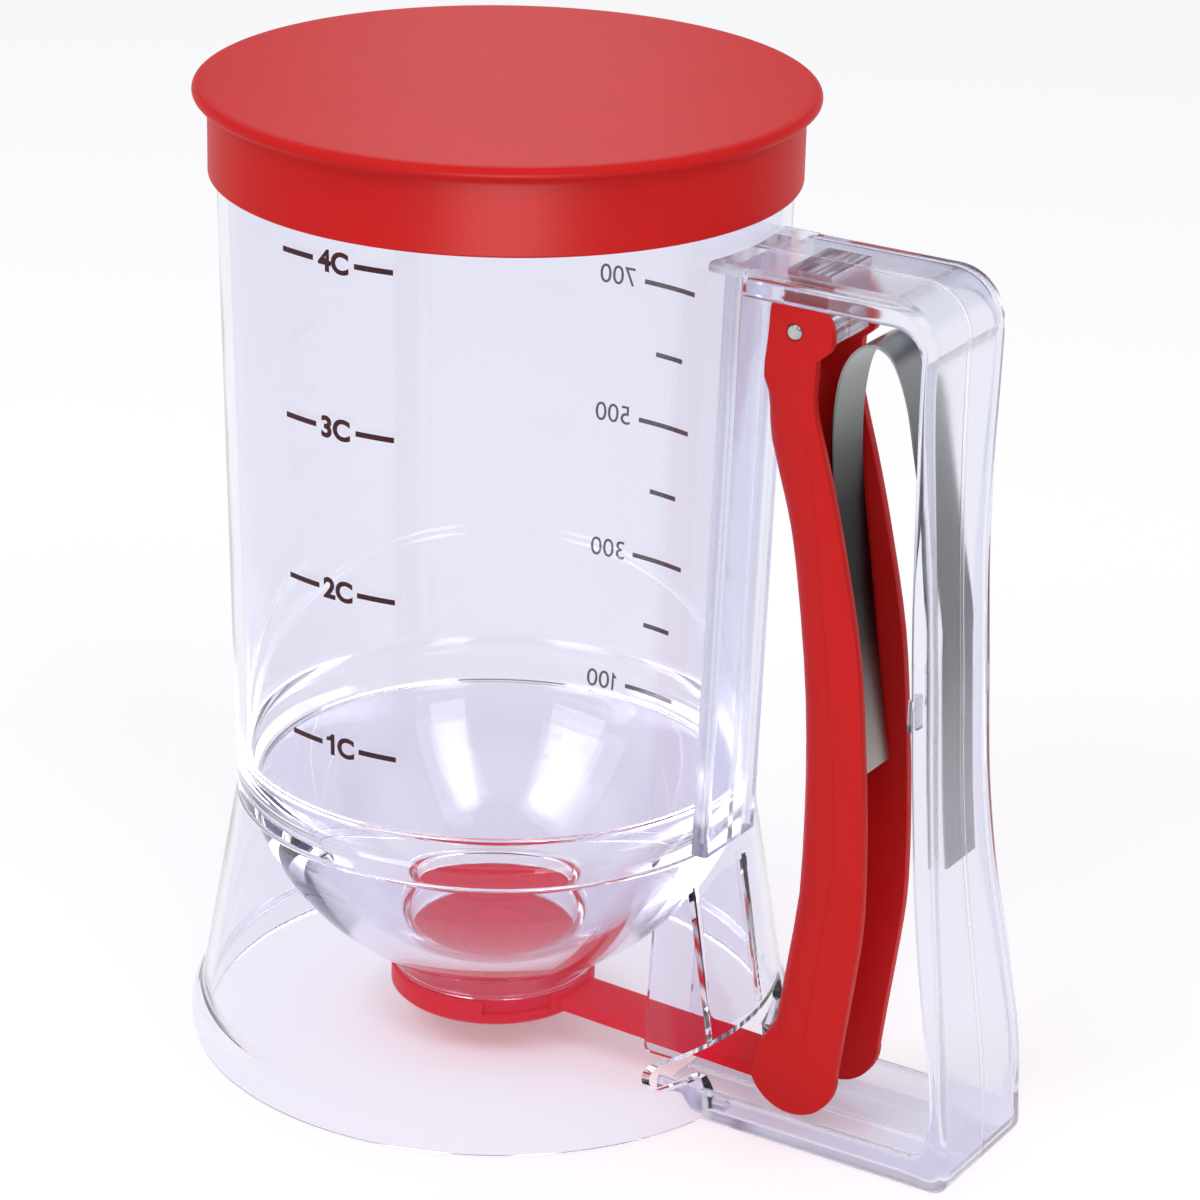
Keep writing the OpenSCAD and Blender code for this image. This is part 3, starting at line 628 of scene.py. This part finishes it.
# Room for the cup and the base, which the halves are cut to
cup_room = [(0, 49.4), (SEAM_R + 0.1, 49.4), (52.2, 168), (52.2, 190), (0, 190)]
base_room = [(0, -3), (58.5, -3), (58.5, 3.9), (58.1, 5.6), (57.3, 6.9), (56.46, 7.9),
             (SEAM_R + 0.1, BASE_TOP), (0, BASE_TOP)]
clear_handle = clear_plastic("acrylic_clear_handle", "#F0F1FA", "#E9EAF7", "#8F86C4", 0.14)
for side, name, node in ((-1, "handle_near", "handle_near_half"),
                         (1, "handle_far", "handle_far_half")):
    half = loft(name, mirrored(frame_rings, side), clear_handle)
    shaped(half, lathe("room", base_room, clear_handle), "DIFFERENCE")
    shaped(half, loft("flange", mirrored(flange_rings, side), clear_handle), "UNION")
    shaped(half, loft("spine", mirrored(spine_rings, side), clear_handle), "UNION")
    shaped(half, prism("lug", lug_outline, side * (BOND + 4 * HAIR), side * LUG_Y,
                       clear_handle), "UNION")
    shaped(half, prism("tab", tab_outline, side * TAB_IN, side * TAB_OUT, clear_handle),
           "UNION")
    shaped(half, lathe("room", cup_room, clear_handle), "DIFFERENCE")
    shaped(half, loft("tray", mirrored(tray_rings, side), clear_handle), "UNION")
    shaped(half, prism("hole", hole_outline, -20, 20, clear_handle), "DIFFERENCE")
    half.data.shade_smooth()
    half.data.set_sharp_from_angle(angle=math.radians(32))
    dress(half, "clear_plastic", "dispenser", node)


# Pivot pin
# A plain steel pin, cut from bright rod and pressed into the handle's lugs. The edges of
# its ends are broken.


def soften(piece, width, finish):
    """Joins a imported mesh's corners and rounds its sharp edges."""
    piece.data.materials.clear()
    piece.data.materials.append(finish)
    for face in piece.data.polygons:
        face.use_smooth = True
    weld = piece.modifiers.new("weld", "WELD")
    weld.merge_threshold = 0.002 * MM
    flat = piece.modifiers.new("flat", "DECIMATE")
    flat.decimate_type, flat.angle_limit = "DISSOLVE", math.radians(0.2)
    bevel = piece.modifiers.new("bevel", "BEVEL")
    bevel.width, bevel.segments = width * MM, 2
    bevel.limit_method, bevel.angle_limit = "ANGLE", math.radians(35)
    bevel.harden_normals = True


# Rolling lines are 0.05 mm apart, drawn coarser so that they show
ROLL_LINES = 0.4


def rolled_steel(name, smoothest, roughest, stops, heights=None):
    """Bright rolled steel: fine lines along the strip, with the sheen of worn rolls. Its
    tone follows the lines, or, as a painted reflection, the height between the two given."""
    made, tree = material(name)
    place = add(tree, "TexCoord", {}).outputs["Object"]
    stretched = add(tree, "Mapping", {"Scale": (0.1, 1.0, 0.1)}, Vector=place)
    lines = add(tree, "TexNoise", {"Scale": 1 / (ROLL_LINES * MM), "Detail": 3.0},
                Vector=stretched.outputs[0]).outputs["Fac"]
    share = lines
    if heights:
        up = add(tree, "SeparateXYZ", {}, Vector=place).outputs["Z"]
        share = add(tree, "MapRange", {"From Min": heights[0], "From Max": heights[1]},
                    Value=up).outputs[0]
    tone = add(tree, "ValToRGB", {"stops": stops}, Fac=share)
    rough = add(tree, "MapRange", {"To Min": smoothest, "To Max": roughest}, Value=lines)
    grain = add(tree, "Bump", {"Strength": 0.1, "Distance": 0.02 * MM}, Height=lines)
    paint = add(tree, "BsdfPrincipled", {"Metallic": 1.0}, Base_Color=tone.outputs[0],
                Roughness=rough.outputs[0], Normal=grain.outputs[0])
    add(tree, "OutputMaterial", {}, Surface=paint.outputs[0])
    return made


steel = rolled_steel("steel_bright_rolled", 0.16, 0.26, [(0.3, "#A6A8A8"), (0.7, "#BCBEBE")])
soften(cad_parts["pivot_pin"], 0.1, steel)


# Lever
# Red ABS, injection moulded in one piece: ears, finger channel, heel, valve arm and dish.
# The mould was lightly spark eroded, so the face is satin.

# Spark erosion leaves pits 0.1 mm wide, drawn coarser so that they show
PITS = 0.4
# The pigment varies in soft clouds, three of them in 50 mm
CLOUDS = 50 / 3
# Between these two the solid lever goes over into the thin arm, and the lever's red into the
# painted brighter red of the arm and dish
ARM_START, ARM_END = 50, 58
WITNESS_Y = 9.2


def red_plastic(name, red, painted_lit_red, roughness, gloss):
    """Satin red moulding. Towards the arm and dish it goes over into a second, brighter red:
    painted light on parts that lie in shade under the cup.
    """
    made, tree = material(name)
    place = add(tree, "TexCoord", {}).outputs["Object"]
    across = add(tree, "SeparateXYZ", {}, Vector=place).outputs["X"]
    share = add(tree, "MapRange", {"From Min": ARM_START * MM, "From Max": ARM_END * MM},
                Value=across)
    grain = add(tree, "TexNoise", {"Scale": 1 / (PITS * MM), "Detail": 2.0},
                Vector=place).outputs["Fac"]
    cloud = add(tree, "TexNoise", {"Scale": 1 / (CLOUDS * MM), "Detail": 2.0},
                Vector=place).outputs["Fac"]
    body = add(tree, "Mix", {"data_type": "RGBA", 6: srgb(painted_lit_red), 7: srgb(red)},
               _0=share.outputs[0])
    value = add(tree, "MapRange", {"To Min": 0.95, "To Max": 1.05}, Value=cloud)
    shade = add(tree, "HueSaturation", {}, Color=body.outputs[2], Value=value.outputs[0])
    rough = add(tree, "MapRange", {"To Min": roughness - 0.06, "To Max": roughness + 0.06},
                Value=grain)
    pits = add(tree, "Bump", {"Strength": 0.12, "Distance": 0.03 * MM}, Height=grain)
    paint = add(tree, "BsdfPrincipled", {"IOR": 1.52, "Specular IOR Level": gloss},
                Base_Color=shade.outputs[0], Roughness=rough.outputs[0],
                Normal=pits.outputs[0])
    add(tree, "OutputMaterial", {}, Surface=paint.outputs[0])
    return made


def smooth_line(points, steps):
    """Points on a smooth line through points (x, z)."""
    out = []
    for i in range(len(points) - 1):
        for k in range(steps):
            t = k / steps
            out.append(tuple(through([(j, p[c]) for j, p in enumerate(points)], i + t)
                             for c in (0, 1)))
    return out + [points[-1]]


def directions(line):
    """The points of a line, each with the way that the line runs there."""
    for i, (x, z) in enumerate(line):
        before, after = line[max(i - 1, 0)], line[min(i + 1, len(line) - 1)]
        yield x, z, Vector((after[0] - before[0], after[1] - before[1])).normalized()


# The second red is painted light: the arm and dish are painted brighter where they lie in shade
# under the cup
lever_red = red_plastic("abs_red_lever", "#D02020", "#F01A34", 0.45, 0.12)
soften(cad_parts["trigger"], 0.3, lever_red)

# The mould's parts met along the round front, which left a fine raised line on each side
witness = smooth_line([(61.3, 144.9), (63.3, 143.1), (65.6, 141), (67.4, 137.4), (70.0, 128.9),
                       (73.4, 103), (76.3, 80), (77.8, 62.3), (77.9, 55.2), (76.1, 40),
                       (74.7, 28.5), (73.7, 19.8), (72.4, 17.1), (67.8, 16), (65, 14.3)], 5)
bead_section = ((-0.16, -0.1), (0.16, -0.1), (0.13, 0.03), (0, 0.07), (-0.13, 0.03))
for side, name in ((-1, "witness_line_near"), (1, "witness_line_far")):
    bead = loft(name, [[(x - way[1] * a, side * (WITNESS_Y + b), z + way[0] * a)
                        for a, b in bead_section] for x, z, way in directions(witness)],
                lever_red)
    bead.data.shade_smooth()
    dress(bead, "trigger_plastic", "lever")


# Valve seal
# A soft disc of silicone, compression moulded, that snaps into the dish by a boss. The lip
# of the cup presses into its outer band when the valve is shut.

SEAL_TOP, BAND_TOP, SEAL_LOW, SEAL_R = 12.1, 12.35, 9.12, 18.6
BOSS_LOW, BOSS_R = 7.3, 3.0

seal_red = red_plastic("silicone_red", "#F01C40", "#F01C40", 0.55, 0.12)
seal = lathe("valve_seal_rings", rounded([
    (0, BOSS_LOW, 0), (BOSS_R, BOSS_LOW, 0.2), (BOSS_R, SEAL_LOW, 0.1),
    (SEAL_R, SEAL_LOW, 0.3), (SEAL_R, BAND_TOP, 0.3), (15.6, BAND_TOP, 0.2),
    (15.0, SEAL_TOP, 0.2), (14.2, SEAL_TOP - 0.4, 0.3), (10.6, SEAL_TOP - 0.4, 0.3),
    (9.4, SEAL_TOP - 1.4, 0.4), (6.6, SEAL_TOP - 1.4, 0.3), (6.0, SEAL_TOP - 2.0, 0.3),
    (0, SEAL_TOP - 2.1, 0)]), seal_red, 192)
dress(seal, "silicone", "lever", "valve_seal")


# Leaf spring
# A strip of bright spring steel, 11 by 0.5 mm, rolled and bent to a hairpin. One leg bears
# on the lever's rib and the other is trapped against the grip.

SPRING_W, SPRING_T, SPRING_LOW, LEG_Z, ARCH_HIGH, KEEPER_Z = 11.0, 0.5, 59.5, 134.2, 19, 95.05
# Painted reflection: the strip is painted nearly black about the height of its free leg's bend
# and light above and below, in place of dark surroundings that it would mirror
PAINTED_REFLECTION = [(0.0, "#A39D99"), (0.2, "#746C6A"), (0.31, "#3A3837"), (0.42, "#121014"),
          (0.52, "#0C0A12"), (0.61, "#1A1A1C"), (0.72, "#484848"), (0.83, "#787A78"),
          (1.0, "#9C9E9D")]


def web_x(z):
    """Where the strip's middle lies against the grip."""
    return grip_x(z) - WALL - 0.3 - SPRING_T / 2


def part_way(start, end, shares):
    """Points (x, z) part of the way from start to end, by shares of x and z."""
    return [(start[0] + (end[0] - start[0]) * a, start[1] + (end[1] - start[1]) * b)
            for a, b in shares]


tip, leg, grip_leg = (80.3, 72.5), (71.7, LEG_Z), (web_x(LEG_Z) - 4.35, LEG_Z)
keeper = (grip_x(KEEPER_Z) - WALL, KEEPER_Z)
route = [tip] + part_way(tip, leg, ((0.34, 0.3), (0.66, 0.6), (0.9, 0.82), (1, 1)))
route += part_way(leg, (grip_leg[0], LEG_Z + ARCH_HIGH), (
    (0.02, 0.42), (0.1, 0.74), (0.27, 0.95), (0.48, 1), (0.69, 0.88), (0.87, 0.52)))
route += [grip_leg] + part_way(grip_leg, keeper, ((0.45, 0.4), (0.82, 0.72)))
route += [(web_x(z), z) for z in (KEEPER_Z + 3, 83, 71.3, SPRING_LOW)]
strip_section = rounded([
    (-SPRING_W / 2, -SPRING_T / 2, 0.12), (SPRING_W / 2, -SPRING_T / 2, 0.12),
    (SPRING_W / 2, SPRING_T / 2, 0.12), (-SPRING_W / 2, SPRING_T / 2, 0.12)], 2)
strip_rings = [[(x - way[1] * b, a, z + way[0] * b) for a, b in strip_section]
               for x, z, way in directions(smooth_line(route, 8))]
# Its tone is a painted reflection: dark at the height of the free leg's bend, light above and
# below
strip_steel = rolled_steel("steel_spring_strip", 0.24, 0.36, PAINTED_REFLECTION, (0.07, 0.155))
spring = loft("leaf_spring_strip", strip_rings, strip_steel)
spring.data.shade_smooth()
spring.data.set_sharp_from_angle(angle=math.radians(50))
dress(spring, "steel", None, "leaf_spring")
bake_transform(spring)


# Lid
# Red polypropylene, injection moulded: a flat flange with a round edge over a skirt that
# slips onto the cup's rim.

LID_R, EDGE_R, EDGE_Z = 56.38, 1.15, 185.15
SKIRT_R, SKIRT_IN, SKIRT_LOW, CEILING = 53.65, 52.38, 169.92, 184.05
FILLET, FILLET_Z = 1.4, 182.6

lid_red = red_plastic("polypropylene_red_lid", "#D02020", "#D02020", 0.42, 0.06)
lid = lathe("lid_moulding", [
    *rounded([(0, CEILING, 0), (SKIRT_IN, CEILING, 0.2), (SKIRT_IN, SKIRT_LOW, 0.35),
              (SKIRT_R, SKIRT_LOW, 0.4), (SKIRT_R, 182.5, 0)]),
    *arc(SKIRT_R + FILLET, FILLET_Z, FILLET, 180, 90, 6)[1:],
    *arc(LID_R - EDGE_R, EDGE_Z, EDGE_R, -90, 82, 12),
    (LID_R - 2.6, 186.24), (LID_R - 4, 186.2), (30, 186.05), (0, 185.92)], lid_red)
dress(lid, "lid_plastic", "lid", "lid")


# Reflections
# Two tall strip boxes beside the camera that only the cup mirrors, and two small boxes that
# only the lid mirrors: one behind it, one low in front.

STRIP_REACH, STRIP_LOW = 1.1, 0.37
CAMERA_SIDE = -57.25


def mirrored_by(light, piece):
    """Lets a lamp show as a reflection in this piece and do nothing else."""
    group = bpy.data.collections.new(light.name + "_lights")
    group.objects.link(piece)
    light.light_linking.receiver_collection = group
    light.light_linking.blocker_collection = group
    light.visible_diffuse = False


def around(azimuth, reach, height):
    """A place at an azimuth, a distance from the axis and a height."""
    a = math.radians(azimuth)
    return (reach * math.cos(a), reach * math.sin(a), height)


for name, azimuth, wide, high, watts in (("right_strip", -31, 0.36, 1.7, 5.2),
                                         ("left_strip", -101, 0.58, 1.55, 7.6)):
    middle_z = STRIP_LOW + high / 2
    mirrored_by(lamp(name, around(azimuth, STRIP_REACH, middle_z), (0, 0, middle_z), wide,
                     high, watts), cup)
mirrored_by(lamp("rear_box", around(CAMERA_SIDE + 180, 0.417, 0.355), (0, 0, 0.186),
                 0.11, 0.11, 0.09), lid)
mirrored_by(lamp("low_box", around(CAMERA_SIDE, 0.35, 0.06), (0, 0, 0.19), 0.2, 0.1, 2.1), lid)

low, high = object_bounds()
